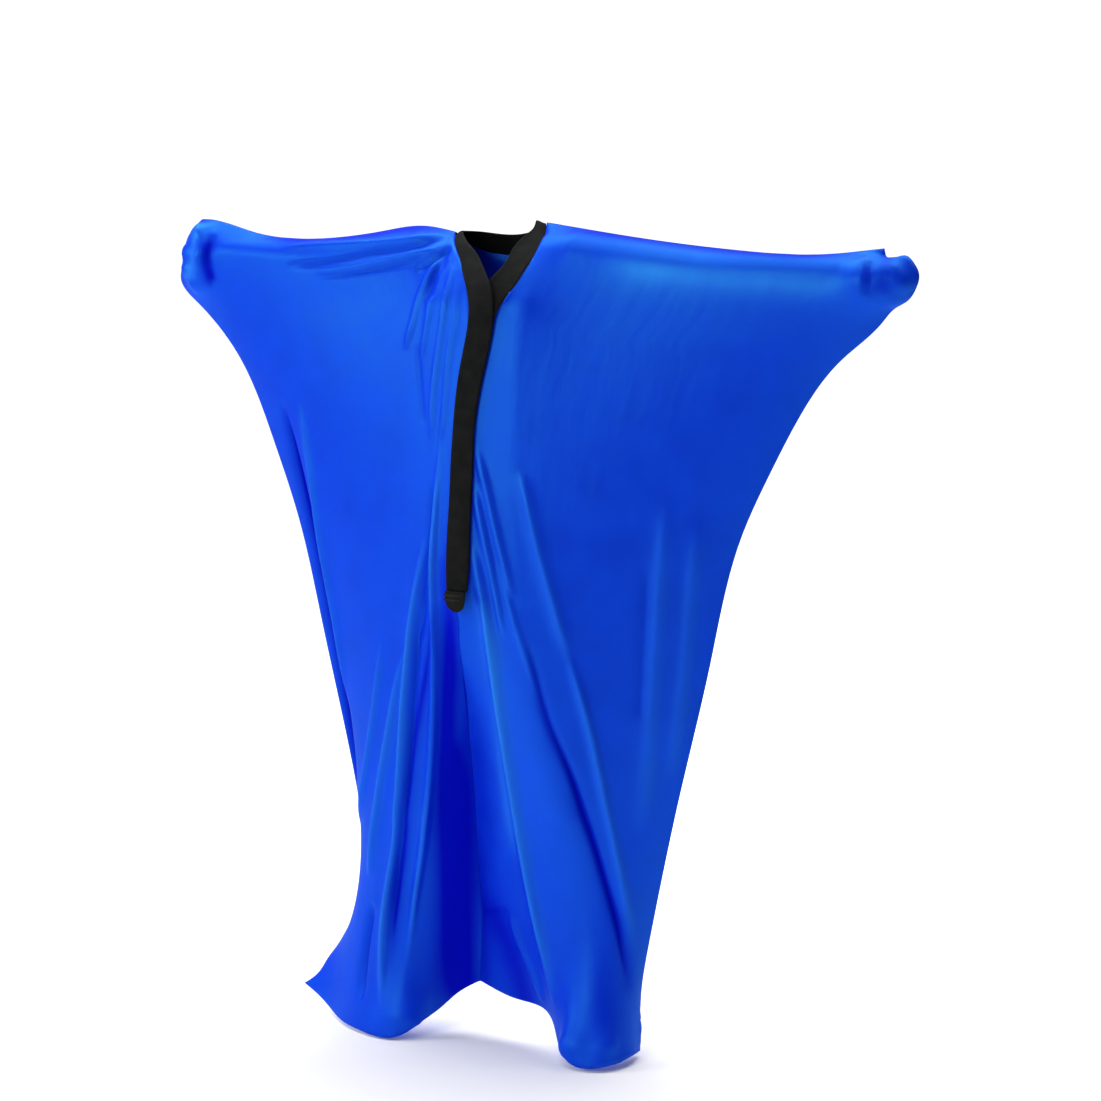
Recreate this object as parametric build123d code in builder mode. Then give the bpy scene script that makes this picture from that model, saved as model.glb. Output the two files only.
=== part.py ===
from build123d import *
from math import cos, exp, hypot, pi, sin
import os

# Child's stretch body sock, worn pose: a two-layer stretch-cloth bag held open
# by the wearer's raised hands and spread feet, with a bound V neck and a front
# placket that closes with hook-and-loop patches. Millimetres, +Z up, the wearer
# faces -Y, and the origin is the centre of the neck opening.

os.makedirs("parts", exist_ok=True)

# ---------------------------------------------------------------- dimensions
CLOTH = 1.2  # thickness of a stretch-cloth panel
BAND = 1.6  # thickness of the folded black binding
SEAM_GAP = 0.7  # clearance between the two panels that meet in a seam
SEAM_NEAR = 6.0  # how far inside its seam an allowance ribbon starts
SEAM_WIDTH = 5.0  # width of an overlocked seam allowance
SEAM_THICK = 0.8  # thickness of an overlocked seam allowance
ARM_BULGE = 30.0  # how far an arm pushes the cloth off the seam plane
ARM_SPREAD = 46.0  # distance over which that bulge dies away
LEG_BULGE = 36.0  # the same for a leg
LEG_SPREAD = 62.0
HIP_Z = -330.0  # the legs' bulge starts here
HIP_FADE = 330.0  # and is full this far below
BACK_BULGE = 40.0  # the same for the back, from the shoulders to the seat
BACK_SPREAD = 100.0
BACK_FULLNESS = 12.0  # keeps the back layer off the seam allowances
CHEST_FULLNESS = 20.0  # extra roundness between the placket and the side
EDGE_TAPER = 34.0  # the bulges grow to full depth over this distance
TACK_SIZE = (20.0, 1.6)  # width and height of a bar tack across the slit's end
TACK_SPACING = 5.0
TACK_RISE = 0.6
LABEL_SIZE = (28.0, 20.0)  # how far the blank care label hangs, and its width
LABEL_THICK = 0.4
LABEL_AT = 0.55  # its place along the left side seam, from hand to foot
TAPE_THICK = 1.0  # thickness of each hook or loop patch
TAPE_GAP = 0.3  # clearance between the hooks and the loops
TAPE_SIZE = (16.0, 34.0)  # width and height of a patch
TAPE_COUNT = 4
PLACKET_TOP_WIDTH = 31.0
PLACKET_END_WIDTH = 27.0
UNDERLAP_SHORTER = 16.0  # the underlap stops this far below the overlap's top
SLIT_BELOW = 14.0  # the slit runs on this far under the tail tab
CENTRE_GAP = 1.8  # half the width of the groove along the centre front seam
PANEL_GAP = 2.0  # clearance between a placket strip and the panel beside it
TAIL_LENGTH = 24.0
TAIL_RISE = 3.6  # the tail tab's face stands this far in front of the overlap

# ---------------------------------------------------- named points, X, Y, Z
NECK_RIGHT = (-56, 10, 16)
NECK_LEFT = (57, 12, 22)
NECK_BACK = (0, 64, -2)
HAND_RIGHT = (-405, 46, 49)
HAND_LEFT = (421, 44, -1)
FOOT_RIGHT = (-264, 25, -838)
FOOT_LEFT = (168, 5, -858)
HEM_MIDDLE_RIGHT = (-34.5, 20, -807)
HEM_MIDDLE_LEFT = (-31.5, 20, -807)
PLACKET_TOP = (-8, -60, -52)  # sewn edge of the overlap, top and bottom
PLACKET_END = (-24, -84, -357)

ARM_TOP_RIGHT = [
    NECK_RIGHT, (-93, 10, 33), (-160, 14, 27), (-232, 20, 21), (-345, 33, 34), HAND_RIGHT,
]
ARM_TOP_LEFT = [
    NECK_LEFT, (78, 11, 31), (184, 16, 12), (270, 26, 1), (348, 38, -4), HAND_LEFT,
]
SIDE_RIGHT = [
    HAND_RIGHT, (-438, 50, -15), (-391, 46, -68), (-351, 42, -115), (-305, 36, -206), (-268, 30, -297),
    (-237, 26, -411), (-202, 22, -547), (-179, 22, -661), (-199, 28, -758), FOOT_RIGHT,
]
SIDE_LEFT = [
    HAND_LEFT, (458, 40, -26), (416, 44, -73), (376, 42, -112), (333, 38, -170), (270, 30, -303),
    (240, 24, -433), (208, 18, -577), (175, 14, -738), FOOT_LEFT,
]
HEM_RIGHT = [HEM_MIDDLE_RIGHT, (-59, 10, -824), (-120, -24, -861), (-171, -14, -862), FOOT_RIGHT]
HEM_LEFT = [
    HEM_MIDDLE_LEFT, (13, 15, -821), (62, 0, -829), (82, -14, -850), (108, -24, -862), FOOT_LEFT,
]
CENTRE_SEAM = [
    (-8, -82, -388), (-2, -80, -453), (0, -68, -530), (-5, -40, -645), (-9, -20, -710), (-17, -2, -760),
]
NECKLINE_RIGHT = [NECK_RIGHT, (-39, -39, 2), (-26, -50, -21)]
NECKLINE_LEFT = [NECK_LEFT, (61, -1, 9), (54, -46, -34)]
NECKLINE_BACK = [NECK_RIGHT, (-41, 44, 4), NECK_BACK, (42, 50, 4), NECK_LEFT]

# The neck binding's sewn edge and free edge, from the side of the neck to the V
NECK_SEWN_RIGHT = [(-54, 9, 15), (-37, -38, 3), (-24, -49, -20), (-8, -60, -47)]
NECK_FREE_RIGHT = [
    (-44, 8, 28), (-38, -18, 23), (-12, -43, 8), (-1, -51, -10), (20, -60, -36), (24, -61, -50),
]
NECK_SEWN_LEFT = [(54.5, 10.5, 21), (56, 0, 12), (46, -45, -27), (27, -55, -58)]
NECK_FREE_LEFT = [(38, 18, 36), (41, 3, 28), (31, -34, 0), (17, -50, -28), (2, -55, -55)]
NECK_SEWN_BACK = [(-53.5, 11, 15), (-37, 41, 8), (0, 60, 3), (38, 46, 9), (54, 13, 21)]
NECK_FREE_BACK = [(-44, 9.5, 28.5), (-31, 36, 28), (0, 50, 27), (30, 40, 31), (37.5, 20, 36)]

# Centre lines of the limbs under the cloth, as X, Z from the body outwards
ARM_LINES = [((-95, -12), (-425, -12)), ((95, -16), (440, -40))]
LEG_LINES = [((-58, -430), (-150, -850)), ((62, -430), (118, -850))]
SPINE_LINE = ((0, -70), (-4, -420))

FRONT = (0, -1, 0)
BACK = (0, 1, 0)


# -------------------------------------------------------------------- helpers
def curve(points):
    """A smooth edge through the points."""
    with BuildLine() as line:
        Spline(*points)
    return line.edge()


def spaced(count):
    """Numbers from 0 to 1 that crowd towards both ends."""
    return [(1 - cos(pi * k / count)) / 2 for k in range(count + 1)]


def line_distance(x, z, line):
    """Distance in the XZ plane from a point to a limb's centre line."""
    (x0, z0), (x1, z1) = line
    along = ((x - x0) * (x1 - x0) + (z - z0) * (z1 - z0)) / ((x1 - x0) ** 2 + (z1 - z0) ** 2)
    along = min(1, max(0, along))
    return hypot(x - x0 - along * (x1 - x0), z - z0 - along * (z1 - z0))


def limb_bulge(x, z):
    """How far the arms and legs push the cloth away from the seam plane."""
    arms = max(ARM_BULGE * exp(-((line_distance(x, z, line) / ARM_SPREAD) ** 2)) for line in ARM_LINES)
    legs = max(LEG_BULGE * exp(-((line_distance(x, z, line) / LEG_SPREAD) ** 2)) for line in LEG_LINES)
    below_hip = min(1, max(0, (HIP_Z - z) / HIP_FADE))
    return max(arms, legs * below_hip)


def taper(distance):
    """Grows from 0 on an edge to 1, steeply at first."""
    return sin(pi / 2 * min(1, max(0, distance) / EDGE_TAPER))


def blended_point(u, v, top, bottom, near, far, reach=1):
    """A point of the surface that spans four edges (a Coons patch). With a
    larger reach, the top and bottom edges shape less of the surface."""
    between_sides = (near @ v) * (1 - u) + (far @ v) * u
    top_detail = top @ u - (top @ 0) * (1 - u) - (top @ 1) * u
    bottom_detail = bottom @ u - (bottom @ 0) * (1 - u) - (bottom @ 1) * u
    return between_sides + top_detail * (1 - v) ** reach + bottom_detail * v**reach


def front_half(top, bottom, near, far, columns=12, rows=36):
    """Points on one front panel, from the garment's middle (near) out to a hand
    and a foot (far), pushed forward where a limb fills it."""
    grid = []
    for v in spaced(rows):
        line = []
        for u in spaced(columns):
            point = blended_point(u, v, top, bottom, near, far)
            across = (far @ v - near @ v).length
            down = (bottom @ u - top @ u).length
            edge = taper(v * down) * taper((1 - v) * down) * taper((1 - u) * across)
            beside_seam = min(1, u * across / LEG_SPREAD)
            push = limb_bulge(point.X, point.Z) + CHEST_FULLNESS * sin(pi * u) * sin(pi * v)
            line.append(point - Vector(0, push * edge * beside_seam + SEAM_GAP / 2, 0))
        grid.append(line)
    return grid


def whole_back(top, bottom, right, left, columns=52, rows=20):
    """Points on the back panel, from the right hand and foot to the left, pushed
    backward by the limbs and the back."""
    grid = []
    for v in spaced(rows):
        line = []
        for k in range(columns + 1):
            u = k / columns
            point = blended_point(u, v, top, bottom, right, left, reach=6)
            across = (left @ v - right @ v).length
            down = (bottom @ u - top @ u).length
            edge = taper(v * down) * taper((1 - v) * down)
            edge *= taper(u * across) * taper((1 - u) * across)
            spine = line_distance(point.X, point.Z, SPINE_LINE) / BACK_SPREAD
            push = max(limb_bulge(point.X, point.Z), BACK_BULGE * exp(-(spine**2)))
            line.append(point + Vector(0, (push + BACK_FULLNESS) * edge + SEAM_GAP / 2, 0))
        grid.append(line)
    return grid


def strip(first, second, count=10):
    """Points on a ruled strip between two edges."""
    return [[edge @ (k / count) for k in range(count + 1)] for edge in (first, second)]


def allowance(edge, side, start, end, count=24):
    """Points on the strip inside the bag that runs along a seam; side is the
    turn, +1 or -1, from the seam's direction towards the inside of the bag."""
    grid = []
    for inset in (SEAM_NEAR, SEAM_NEAR + SEAM_WIDTH):
        line = []
        for k in range(count + 1):
            t = start + (end - start) * k / count
            along = edge % t
            inward = Vector(-along.Z, 0, along.X).normalized() * side
            line.append(edge @ t + inward * inset)
        grid.append(line)
    return grid


def neighbours(items, k):
    """The items either side of item k, or item k itself at an end."""
    return items[max(k - 1, 0)], items[min(k + 1, len(items) - 1)]


def layer(grid, thickness, outward):
    """A closed layer of cloth: the smooth surface through the grid, thickened
    towards the side that outward points to."""
    lifted = []
    for i, line in enumerate(grid):
        above, below = neighbours(grid, i)
        raised = []
        for j, point in enumerate(line):
            before, after = neighbours(line, j)
            normal = (below[j] - above[j]).cross(after - before).normalized()
            if normal.dot(Vector(*outward)) < 0:
                normal = -normal
            raised.append(point + normal * thickness)
        lifted.append(raised)
    inner = Face.make_surface_from_array_of_points(grid, tol=0.3)
    outer = Face.make_surface_from_array_of_points(lifted, tol=0.3)
    sides = []
    for edge in inner.edges():
        twin = outer.edges().sort_by_distance(edge.center())[0]
        sides.append(Face.make_surface_from_curves(edge, twin))
    return Solid(Shell([inner, outer] + sides))


# ------------------------------------------------------------ shared geometry
arm_top_right = curve(ARM_TOP_RIGHT)
arm_top_left = curve(ARM_TOP_LEFT)
side_right = curve(SIDE_RIGHT)
side_left = curve(SIDE_LEFT)
hem_right = curve(HEM_RIGHT)
hem_left = curve(HEM_LEFT)

# The placket lies in one plane. Its sewn edge is the plane's local Y axis,
# pointing up, local X runs towards the wearer's left and local Z forward.
sewn_bottom = Vector(*PLACKET_END)
sewn_up = (Vector(*PLACKET_TOP) - sewn_bottom).normalized()
sewn_across = (Vector(1, 0, 0) - sewn_up * sewn_up.X).normalized()
sewn_forward = sewn_across.cross(sewn_up)
placket_length = (Vector(*PLACKET_TOP) - sewn_bottom).length
placket_plane = Plane(origin=sewn_bottom, x_dir=sewn_across, z_dir=sewn_forward)
underlap_plane = placket_plane.offset(-BAND - 2 * TAPE_THICK - TAPE_GAP)
underlap_length = placket_length - UNDERLAP_SHORTER


def front_edge(neckline, slit_top, slit_end, hem_middle, side):
    """The middle edge of a front panel: along the neck binding, straight down
    beside the slit, then down the centre seam. side is -1 right, +1 left."""
    seam = [Vector(*point) + Vector(side * CENTRE_GAP, 0, 0) for point in CENTRE_SEAM]
    with BuildLine() as line:
        Spline(*neckline, slit_top)
        Line(slit_top, slit_end)
        Line(slit_end, seam[0])
        Spline(*seam, hem_middle)
    return line.wire()


def width_at(up):
    """The placket's width at a height above the slit's end."""
    return PLACKET_END_WIDTH + (PLACKET_TOP_WIDTH - PLACKET_END_WIDTH) * up / placket_length


def placket_outline(length, inset=0.0):
    """A placket strip: straight sewn edge, slightly tapered, in local X, Y."""
    Polyline(
        (inset, 0),
        (width_at(0) - inset, 0),
        (width_at(length) - inset, length),
        (inset, length),
        close=True,
    )


# ---------------------------------------------------------- the three panels
front_edge_right = front_edge(
    NECKLINE_RIGHT,
    placket_plane.from_local_coords(Vector(-PANEL_GAP, placket_length, -BAND)),
    placket_plane.from_local_coords(Vector(-PANEL_GAP, -SLIT_BELOW, -BAND)),
    HEM_MIDDLE_RIGHT,
    -1,
)
front_edge_left = front_edge(
    NECKLINE_LEFT,
    underlap_plane.from_local_coords(Vector(width_at(underlap_length) + PANEL_GAP, underlap_length, 0)),
    underlap_plane.from_local_coords(Vector(width_at(0) + PANEL_GAP, -SLIT_BELOW, 0)),
    HEM_MIDDLE_LEFT,
    1,
)

with BuildPart() as front_panel_right:
    add(layer(front_half(arm_top_right, hem_right, front_edge_right, side_right), CLOTH, FRONT))

with BuildPart() as front_panel_left:
    add(layer(front_half(arm_top_left, hem_left, front_edge_left, side_left), CLOTH, FRONT))

with BuildLine() as back_top:
    Spline(*reversed(ARM_TOP_RIGHT))
    Spline(*NECKLINE_BACK)
    Spline(*ARM_TOP_LEFT)

with BuildLine() as back_hem:
    Spline(*reversed(HEM_RIGHT))
    Line(HEM_MIDDLE_RIGHT, HEM_MIDDLE_LEFT)
    Spline(*HEM_LEFT)

with BuildPart() as back_panel:
    add(layer(whole_back(back_top.wire(), back_hem.wire(), side_right, side_left), CLOTH, BACK))

# ------------------------------------------------- seam allowances, inside
with BuildPart() as shoulder_seam_right:
    add(layer(allowance(arm_top_right, 1, 0.12, 0.97), SEAM_THICK, FRONT))

with BuildPart() as shoulder_seam_left:
    add(layer(allowance(arm_top_left, -1, 0.12, 0.97), SEAM_THICK, FRONT))

with BuildPart() as side_seam_right:
    add(layer(allowance(side_right, 1, 0.03, 0.97), SEAM_THICK, FRONT))

with BuildPart() as side_seam_left:
    add(layer(allowance(side_left, -1, 0.03, 0.97), SEAM_THICK, FRONT))

with BuildPart() as bottom_seam_right:
    add(layer(allowance(hem_right, -1, 0.05, 0.82), SEAM_THICK, FRONT))

with BuildPart() as bottom_seam_left:
    add(layer(allowance(hem_left, 1, 0.05, 0.93), SEAM_THICK, FRONT))

# The centre seam's allowance lies flat behind the two front panels.
seam_left_side = curve([Vector(*point) + Vector(4, 3.2, 3) for point in CENTRE_SEAM])
seam_right_side = curve([Vector(*point) + Vector(-4, 3.2, 3) for point in CENTRE_SEAM])
with BuildPart() as centre_front_seam:
    add(layer(strip(seam_left_side, seam_right_side, 16), SEAM_THICK, BACK))

# A blank care label hangs from the left side seam, between the two layers.
label_point = side_left @ LABEL_AT
label_inward = Vector((side_left % LABEL_AT).Z, 0, -(side_left % LABEL_AT).X).normalized()
label_plane = Plane(origin=label_point, x_dir=label_inward, z_dir=FRONT)
with BuildPart() as care_label:
    with BuildSketch(label_plane):
        with Locations((SEAM_NEAR + SEAM_WIDTH + 1 + LABEL_SIZE[0] / 2, 0)):
            Rectangle(*LABEL_SIZE)
    extrude(amount=LABEL_THICK)

# --------------------------------------------------------- the neck binding
with BuildPart() as collar_right:
    add(layer(strip(curve(NECK_SEWN_RIGHT), curve(NECK_FREE_RIGHT)), BAND, FRONT))

with BuildPart() as collar_left:
    add(layer(strip(curve(NECK_SEWN_LEFT), curve(NECK_FREE_LEFT)), BAND, FRONT))

with BuildPart() as collar_back:
    add(layer(strip(curve(NECK_SEWN_BACK), curve(NECK_FREE_BACK)), BAND, BACK))

# ------------------------------------------------------------- the placket
with BuildPart() as overlap_placket:
    with BuildSketch(placket_plane):
        with BuildLine():
            placket_outline(placket_length)
        make_face()
    extrude(amount=-BAND)

with BuildPart() as underlap_placket:
    with BuildSketch(underlap_plane):
        with BuildLine():
            placket_outline(underlap_length, inset=0.5)
        make_face()
    extrude(amount=-BAND)

TAPE_MIDDLE = PLACKET_END_WIDTH / 2
TAPE_PITCH = underlap_length / TAPE_COUNT

with BuildPart() as hook_patches:
    with BuildSketch(placket_plane.offset(-BAND)):
        with Locations((TAPE_MIDDLE, underlap_length / 2)):
            with GridLocations(1, TAPE_PITCH, 1, TAPE_COUNT):
                RectangleRounded(*TAPE_SIZE, radius=2)
    extrude(amount=-TAPE_THICK)

with BuildPart() as loop_patches:
    with BuildSketch(underlap_plane):
        with Locations((TAPE_MIDDLE, underlap_length / 2)):
            with GridLocations(1, TAPE_PITCH, 1, TAPE_COUNT):
                RectangleRounded(*TAPE_SIZE, radius=2)
    extrude(amount=TAPE_THICK)

with BuildPart() as placket_tail:
    with BuildSketch(placket_plane.offset(TAIL_RISE)):
        with Locations((PLACKET_END_WIDTH / 2, -2 - TAIL_LENGTH / 2)):
            Rectangle(PLACKET_END_WIDTH - 2, TAIL_LENGTH)
        fillet(vertices().group_by(Axis.Y)[0], radius=11)
    extrude(amount=-BAND)

with BuildPart() as bar_tacks:
    with BuildSketch(placket_plane.offset(TAIL_RISE)):
        with Locations((PLACKET_END_WIDTH / 2, -2 - TACK_SPACING)):
            with GridLocations(1, TACK_SPACING, 1, 2):
                Rectangle(TACK_SIZE[0], TACK_SIZE[1])
    extrude(amount=TACK_RISE)

parts_made = {
    "front_panel_right": front_panel_right,
    "front_panel_left": front_panel_left,
    "back_panel": back_panel,
    "shoulder_seam_right": shoulder_seam_right,
    "shoulder_seam_left": shoulder_seam_left,
    "side_seam_right": side_seam_right,
    "side_seam_left": side_seam_left,
    "bottom_seam_right": bottom_seam_right,
    "bottom_seam_left": bottom_seam_left,
    "collar_right": collar_right,
    "collar_left": collar_left,
    "collar_back": collar_back,
    "overlap_placket": overlap_placket,
    "underlap_placket": underlap_placket,
    "hook_patches": hook_patches,
    "loop_patches": loop_patches,
    "placket_tail": placket_tail,
    "bar_tacks": bar_tacks,
    "care_label": care_label,
    "centre_front_seam": centre_front_seam,
}
for label, made in parts_made.items():
    made.part.label = label
    export_step(made.part, f"parts/{label}.step")
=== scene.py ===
import math

import bmesh
import bpy
import numpy as np
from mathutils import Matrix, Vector
from mathutils.kdtree import KDTree


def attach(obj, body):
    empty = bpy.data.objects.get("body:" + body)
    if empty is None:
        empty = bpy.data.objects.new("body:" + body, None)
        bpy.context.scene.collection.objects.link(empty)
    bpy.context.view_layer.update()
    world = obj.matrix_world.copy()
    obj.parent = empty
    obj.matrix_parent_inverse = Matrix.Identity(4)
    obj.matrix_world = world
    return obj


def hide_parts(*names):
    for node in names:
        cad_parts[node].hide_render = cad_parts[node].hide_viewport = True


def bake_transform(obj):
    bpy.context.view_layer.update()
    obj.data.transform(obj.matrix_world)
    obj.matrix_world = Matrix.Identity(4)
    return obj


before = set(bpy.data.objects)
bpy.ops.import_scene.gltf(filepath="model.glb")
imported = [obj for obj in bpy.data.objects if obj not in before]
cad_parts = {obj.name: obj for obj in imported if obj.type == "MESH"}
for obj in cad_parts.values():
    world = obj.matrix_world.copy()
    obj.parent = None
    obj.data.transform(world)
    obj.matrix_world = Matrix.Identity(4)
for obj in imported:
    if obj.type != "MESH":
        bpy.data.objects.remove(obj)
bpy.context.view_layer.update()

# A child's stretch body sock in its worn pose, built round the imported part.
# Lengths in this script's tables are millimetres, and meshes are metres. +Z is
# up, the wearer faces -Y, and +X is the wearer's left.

MM = 0.001
TURN = math.radians(25)  # the camera stands this far round to the wearer's left
TIP = math.radians(85)  # and looks down by 5 degrees

# ---- the camera
SENSOR = 36
LENS = 78.7161
scene = bpy.context.scene
camera_data = bpy.data.cameras.new("camera")
camera = bpy.data.objects.new("camera", camera_data)
scene.collection.objects.link(camera)
camera.location = (1.1587, -2.3482, -0.0913)
camera.rotation_euler = (TIP, 0, TURN)
camera_data.sensor_width = SENSOR
camera_data.lens = LENS
camera_data.clip_start = 0.1
camera_data.clip_end = 60
scene.camera = camera

# ---- the named points of the part
NECK_RIGHT = (-56, 10, 26)
NECK_LEFT = (54, 12, 34)
HAND_RIGHT = (-405, 46, 49)
HAND_LEFT = (420, 44, 2)
FOOT_RIGHT = (-264, 25, -838)
FOOT_LEFT = (168, 5, -858)
HEM_MIDDLE = (-33, 20, -807)
PLACKET_TOP = (-8, -60, -52)
PLACKET_END = (-24, -84, -357)

ARM_TOP_RIGHT = [
    NECK_RIGHT, (-93, 10, 33), (-145, 14, 29), (-232, 20, 22), (-324, 30, 31), (-386, 42, 47),
    HAND_RIGHT,
]
ARM_TOP_LEFT = [
    NECK_LEFT, (105, 10, 25), (184, 16, 12), (270, 26, 1), (348, 38, -4), (394, 44, -1), HAND_LEFT,
]
SIDE_RIGHT = [
    HAND_RIGHT, (-428, 48, 26), (-436, 50, -4), (-438, 49, -18), (-430, 48, -33), (-417, 48, -45),
    (-391, 46, -68), (-351, 42, -115), (-305, 36, -206), (-268, 30, -297), (-237, 26, -411),
    (-202, 22, -547), (-179, 22, -661), (-177, 24, -708), (-187, 26, -738), (-205, 28, -764),
    (-221, 29, -789), (-236, 30, -808), (-246, 28, -824), FOOT_RIGHT,
]
SIDE_LEFT = [
    HAND_LEFT, (423, 44, -8), (429, 43, -12), (436, 42, -8), (444, 41, -6), (452, 40, -13),
    (458, 40, -26), (455, 41, -38), (446, 42, -51), (432, 43, -59), (420, 44, -72), (376, 42, -112),
    (333, 38, -170), (302, 34, -230), (270, 30, -303), (240, 24, -433), (208, 18, -577),
    (175, 14, -738), (166, 10, -804), FOOT_LEFT,
]
HEM_RIGHT = [
    HEM_MIDDLE, (-58, 8, -823), (-69, -8, -836), (-80, -28, -846), (-99, -56, -860), (-145, -50, -861),
    (-191, -20, -860), (-222, 6, -854), (-247, 20, -845), FOOT_RIGHT,
]
HEM_LEFT = [
    HEM_MIDDLE, (15, 12, -820), (59, -4, -823), (80, -25, -833), (99, -52, -848), (131, -74, -860),
    (158, -66, -858), (173, -38, -854), FOOT_LEFT,
]
# Where the back layer's first shape turns under the heels, before it is pulled taut.
HEEL_RIGHT = [HEM_MIDDLE, (-60, 62, -830), (-96, 86, -850), (-140, 78, -852), (-196, 46, -848), FOOT_RIGHT]
HEEL_LEFT = [
    HEM_MIDDLE, (20, 40, -824), (80, 66, -838), (122, 84, -850), (158, 80, -852), (170, 45, -856),
    FOOT_LEFT,
]
NECKLINE_BACK = [NECK_RIGHT, (-41, 44, 12), (0, 62, 4), (42, 48, 15), NECK_LEFT]
CENTRE_SEAM = [
    (-10, -78, -379), (-13, -66, -411), (-18, -46, -456), (-22, -30, -502), (-24, -16, -548),
    (-27, -1, -607), (-29, 10, -666), (-28, 16, -718), (-29, 18, -772),
]

# The placket's own axes: across towards the wearer's left, up, and forward.
placket_origin = np.array(PLACKET_END, float)
placket_up = np.array(PLACKET_TOP, float) - placket_origin
placket_length = float(np.linalg.norm(placket_up))
placket_up /= placket_length
placket_across = np.array([1.0, 0.0, 0.0]) - placket_up * placket_up[0]
placket_across /= np.linalg.norm(placket_across)
placket_forward = np.cross(placket_across, placket_up)


def on_placket(across, up, forward=0.0):
    """A point given in the placket's own axes, in millimetres."""
    return tuple(
        placket_origin + placket_across * across + placket_up * up + placket_forward * forward
    )


# ---- the form inside the cloth
# Rounded limbs that the cloth is stretched over. They shape it and aren't made.
# Each is a chain of x, y, z and radius.
LIMBS = [
    [(0, 14, 30, 36), (0, 8, -40, 44)],
    [
        (-36, 4, -66, 56), (-34, -5, -250, 58), (-40, -10, -390, 54), (-84, -8, -600, 38),
        (-96, 34, -800, 25),
    ],
    [
        (36, 4, -66, 56), (34, -5, -250, 58), (42, -10, -390, 56), (92, -8, -600, 39),
        (142, 28, -800, 25),
    ],
    [(-30, 10, -20, 34), (-92, 12, -3, 33), (-232, 20, -5, 24), (-362, 38, 8, 20)],
    [(30, 12, -18, 36), (92, 12, -9, 33), (230, 22, -24, 25), (372, 40, -29, 21)],
    [(-94, 54, -832, 24), (-112, -36, -842, 17)],
    [(-82, 40, -836, 20), (-94, -34, -845, 14)],
    [(148, 50, -830, 23), (148, -48, -842, 16)],
    [(136, 44, -832, 20), (120, -56, -842, 17)],
]
FISTS = [
    ((-384, 42, 5), 27),
    ((-398, 38, 27), 15),
    ((-409, 34, 9), 13),
    ((-411, 34, -9), 12),
    ((-404, 36, -24), 10),
    ((402, 42, -34), 27),
    ((430, 36, -27), 13),
    ((438, 36, -33), 12),
    ((430, 38, -45), 11),
]
LIMB_JOIN = 22.0  # how softly limbs melt into one another
FIST_JOIN = 5.0
NEAR_FORM = 9.0  # only points this near the form are kept off it
NEAR_ROUNDS = 12  # and they are found afresh after this many rounds
SLOPE_STEP = 0.5
FINE_POINTS = 1200  # points on a curve before it is respaced


def limb_distance(points, chain):
    """Distance from points to the surface of one chain of rounded limbs."""
    best = None
    for start, end in zip(chain, chain[1:]):
        origin = np.array(start[:3], float)
        along = np.array(end[:3], float) - origin
        t = np.clip(((points - origin) @ along) / (along @ along), 0, 1)
        gap = points - origin - t[:, None] * along
        distance = np.sqrt((gap * gap).sum(1)) - (start[3] + (end[3] - start[3]) * t)
        best = distance if best is None else np.minimum(best, distance)
    return best


def melted(first, second, join):
    """The nearer of two distances, rounded where they are alike."""
    blend = np.maximum(join - np.abs(first - second), 0) / join
    return np.minimum(first, second) - blend * blend * join / 4


def form_distance(points):
    """Distance to the whole form, with its limbs melted together."""
    total = limb_distance(points, LIMBS[0])
    for chain in LIMBS[1:]:
        total = melted(total, limb_distance(points, chain), LIMB_JOIN)
    for centre, radius in FISTS:
        ball = np.sqrt(((points - np.array(centre, float)) ** 2).sum(1)) - radius
        total = melted(total, ball, FIST_JOIN)
    return total


def push_out(points, clearance):
    """Moves the points that are inside the form out to its surface."""
    distance = form_distance(points)
    inside = distance < clearance
    if not inside.any():
        return points
    chosen = points[inside]
    here = distance[inside]
    slope = np.empty_like(chosen)
    for axis in range(3):
        nudge = np.zeros(3)
        nudge[axis] = SLOPE_STEP
        slope[:, axis] = form_distance(chosen + nudge) - here
    slope /= np.maximum(np.linalg.norm(slope, axis=1, keepdims=True), 1e-9)
    pushed = points.copy()
    pushed[inside] = chosen + slope * (clearance - here)[:, None]
    return pushed


# ---- splines
def smooth_line(points, count):
    """count points, evenly spaced along a smooth curve through the given ones."""
    knots = np.array(points, float)
    at = run_along(knots)
    steps = np.linalg.norm(np.diff(knots, axis=0), axis=1)
    n = len(knots)
    matrix = np.zeros((n, n))
    right = np.zeros(knots.shape)
    matrix[0, 0] = matrix[-1, -1] = 1
    for k in range(1, n - 1):
        matrix[k, k - 1 : k + 2] = steps[k - 1], 2 * (steps[k - 1] + steps[k]), steps[k]
        right[k] = 3 * ((knots[k + 1] - knots[k]) / steps[k] - (knots[k] - knots[k - 1]) / steps[k - 1])
    c = np.linalg.solve(matrix, right)
    fine = np.linspace(0, at[-1], FINE_POINTS)
    i = np.clip(np.searchsorted(at, fine, side="right") - 1, 0, n - 2)
    h = steps[i][:, None]
    d = (fine - at[i])[:, None]
    b = (knots[i + 1] - knots[i]) / h - h * (2 * c[i] + c[i + 1]) / 3
    dense = knots[i] + b * d + c[i] * d**2 + (c[i + 1] - c[i]) / (3 * h) * d**3
    return respaced(dense, count)


def run_along(line):
    """The distance of each of a line's points from its start."""
    return np.concatenate([[0], np.cumsum(np.linalg.norm(np.diff(line, axis=0), axis=1))])


def places(at, run, line):
    """Where a line is at the given distances, or steps, along it."""
    return np.stack([np.interp(at, run, line[:, k]) for k in range(line.shape[1])], axis=-1)


def respaced(line, count):
    """The same line with count points, evenly spaced."""
    run = run_along(line)
    return places(np.linspace(0, run[-1], count), run, line)


def joined(*lines):
    """One line from several that follow on, without repeated points."""
    return np.concatenate([lines[0]] + [line[1:] for line in lines[1:]])


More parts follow.
